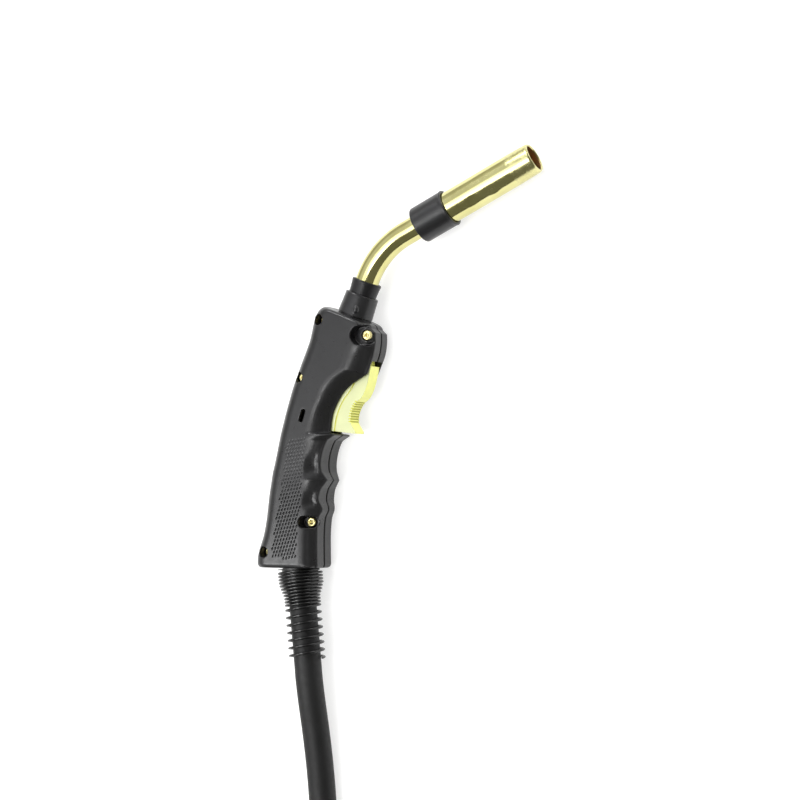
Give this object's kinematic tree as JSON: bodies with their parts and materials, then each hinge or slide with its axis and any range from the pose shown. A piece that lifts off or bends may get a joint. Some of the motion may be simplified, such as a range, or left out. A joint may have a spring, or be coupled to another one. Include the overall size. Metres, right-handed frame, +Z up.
{
  "type": "mig welding torch",
  "caption": "MIG welding torch with a pistol-like moulded handle, sprung trigger, bent brass neck, pull-off gas nozzle, and a coiled cable ending in a plug with a union nut.",
  "frame": {"origin": "on the handle's flat underside, at the middle of the grip, where the torch lies on a bench", "axes": "+Y along the handle towards the neck, +X towards the trigger side, +Z up out of the bench, square to the flat sides of the handle"},
  "size_m": [0.2933, 0.8486, 0.0482],
  "materials": {
    "handle_plastic": "semi-gloss moulded, finely textured panel",
    "collar_plastic": "satin, smooth",
    "neck_brass": "polished, bright",
    "machined_brass": "turned",
    "copper": "turned copper",
    "trigger_plastic": "satin lime-yellow, smooth",
    "insulation": "satin white",
    "bush_plastic": "moulded",
    "steel": "ground",
    "switch_plastic": "moulded",
    "plunger_plastic": "moulded",
    "cable_rubber": "matt sheath",
    "spring_steel": "black, gloss coated",
    "lead_plastic": "insulated lead"
  },
  "bodies": {
    "torch": {"upper_shell": "handle_plastic", "lower_shell": "handle_plastic", "shell_screws": "machined_brass", "neck_collar": "collar_plastic", "neck_sleeve": "collar_plastic", "neck_tube": "neck_brass", "neck_insulation": "insulation", "inner_conductor": "copper", "wire_liner": "steel", "neck_block": "machined_brass", "cable_nut": "machined_brass", "cable_ferrule": "copper", "cable_lead_in": "cable_rubber", "nozzle_collar": "collar_plastic", "nozzle_bush": "bush_plastic", "nozzle_catch": "steel", "gas_diffuser": "insulation", "tip_holder": "machined_brass", "contact_tip": "copper", "trigger_pin": "steel", "switch_body": "switch_plastic", "switch_leads": "lead_plastic", "spring_seat": "collar_plastic", "support_spring": "spring_steel", "cable": "cable_rubber", "cable_coil": "cable_rubber", "coil_ties": "collar_plastic", "plug_strain_relief": "cable_rubber", "plug_housing": "collar_plastic", "plug_face": "collar_plastic", "plug_body": "machined_brass"},
    "nozzle": {"gas_nozzle": "neck_brass"},
    "trigger": {"trigger": "trigger_plastic"},
    "plunger": {"switch_plunger": "plunger_plastic"},
    "union_nut": {"plug_nut": "collar_plastic"},
    "pin_1": {"control_pin_1": "machined_brass"},
    "pin_2": {"control_pin_2": "machined_brass"}
  },
  "joints": [
    {"name": "nozzle_slide", "type": "slide", "parent": "torch", "child": "nozzle", "axis": [0.9063, 0.4226, 0], "range_m": [0, 0.09]},
    {"name": "trigger_hinge", "type": "hinge", "parent": "torch", "child": "trigger", "pos_m": [0.0545, 0.0945, 0.017], "axis": [0, 0, -1], "range_deg": [0, 4], "stiffness_Nm_per_rad": 1.2, "springref_deg": -3.44},
    {"name": "plunger_slide", "type": "slide", "parent": "torch", "child": "plunger", "axis": [-0.9272, 0.3746, 0], "range_m": [0, 0.0012]},
    {"name": "union_nut_spin", "type": "hinge", "parent": "torch", "child": "union_nut", "pos_m": [0.02, -0.582, 0.0242], "axis": [0, -1, 0], "continuous": true},
    {"name": "pin_1_slide", "type": "slide", "parent": "torch", "child": "pin_1", "axis": [0, 1, 0], "range_m": [0, 0.003], "stiffness_N_per_m": 800, "springref_m": -0.002},
    {"name": "pin_2_slide", "type": "slide", "parent": "torch", "child": "pin_2", "axis": [0, 1, 0], "range_m": [0, 0.003], "stiffness_N_per_m": 800, "springref_m": -0.002}
  ],
  "couplings": [
    {"joint": "plunger_slide", "follows": "trigger_hinge", "m_per_rad": 0.016}
  ]
}
